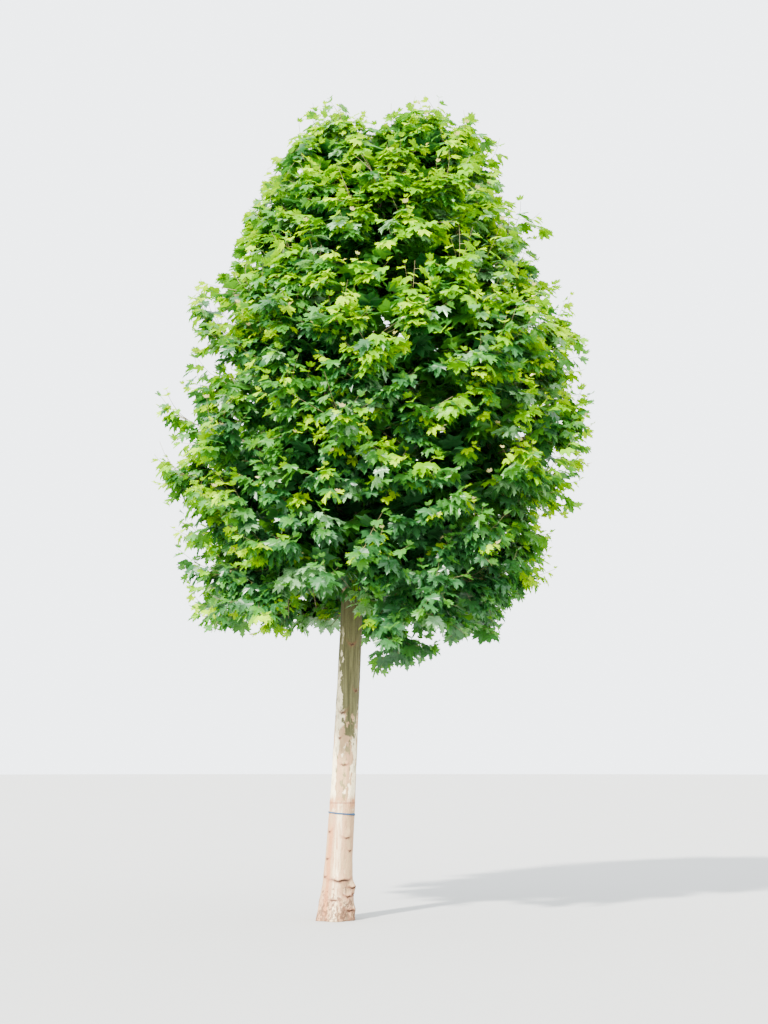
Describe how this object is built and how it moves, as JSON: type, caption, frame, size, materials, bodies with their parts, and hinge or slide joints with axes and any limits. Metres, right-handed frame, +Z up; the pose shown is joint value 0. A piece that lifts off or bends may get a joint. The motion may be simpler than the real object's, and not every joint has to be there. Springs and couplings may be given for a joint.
{
  "type": "london plane tree",
  "caption": "Young broadleaf street tree in full summer leaf: clear leaning stem with flaking bark and a broad egg-shaped crown of lobed leaves",
  "frame": {"origin": "centre of the flat cut under the trunk, at ground level", "axes": "+Z up along the tree's height; +X to the right and +Y away from the viewer as the picture shows the tree"},
  "size_m": [4.4216, 4.2099, 8.8401],
  "materials": {
    "trunk_bark": "smooth plane bark, beige pink with cream and olive grey patches, slightly rough",
    "bough_bark": "smooth olive brown bark of boughs and twigs, slightly rough",
    "leaves": "soft mid green leaves with a slight sheen, paler and yellower at the shoot tips",
    "marker_band": "thin blue grey plastic tie, satin"
  },
  "bodies": {
    "root": {"trunk": "trunk_bark", "marker_band": "marker_band", "bough_skirt_1": "bough_bark", "bough_skirt_2": "bough_bark", "bough_skirt_3": "bough_bark", "bough_skirt_4": "bough_bark", "bough_skirt_5": "bough_bark", "bough_lower_1": "bough_bark", "bough_lower_2": "bough_bark", "bough_lower_3": "bough_bark", "bough_lower_4": "bough_bark", "bough_lower_5": "bough_bark", "bough_middle_1": "bough_bark", "bough_middle_2": "bough_bark", "bough_middle_3": "bough_bark", "bough_middle_4": "bough_bark", "bough_middle_5": "bough_bark", "bough_upper_1": "bough_bark", "bough_upper_2": "bough_bark", "bough_upper_3": "bough_bark", "bough_upper_4": "bough_bark", "bough_left_peak": "bough_bark", "bough_right_peak": "bough_bark", "foliage_skirt_1": "leaves", "foliage_skirt_2": "leaves", "foliage_skirt_3": "leaves", "foliage_skirt_4": "leaves", "foliage_skirt_5": "leaves", "foliage_lower_1": "leaves", "foliage_lower_2": "leaves", "foliage_lower_3": "leaves", "foliage_lower_4": "leaves", "foliage_lower_5": "leaves", "foliage_middle_1": "leaves", "foliage_middle_2": "leaves", "foliage_middle_3": "leaves", "foliage_middle_4": "leaves", "foliage_middle_5": "leaves", "foliage_upper_1": "leaves", "foliage_upper_2": "leaves", "foliage_upper_3": "leaves", "foliage_upper_4": "leaves", "foliage_left_peak": "leaves", "foliage_right_peak": "leaves", "foliage_leader": "leaves"}
  },
  "joints": []
}
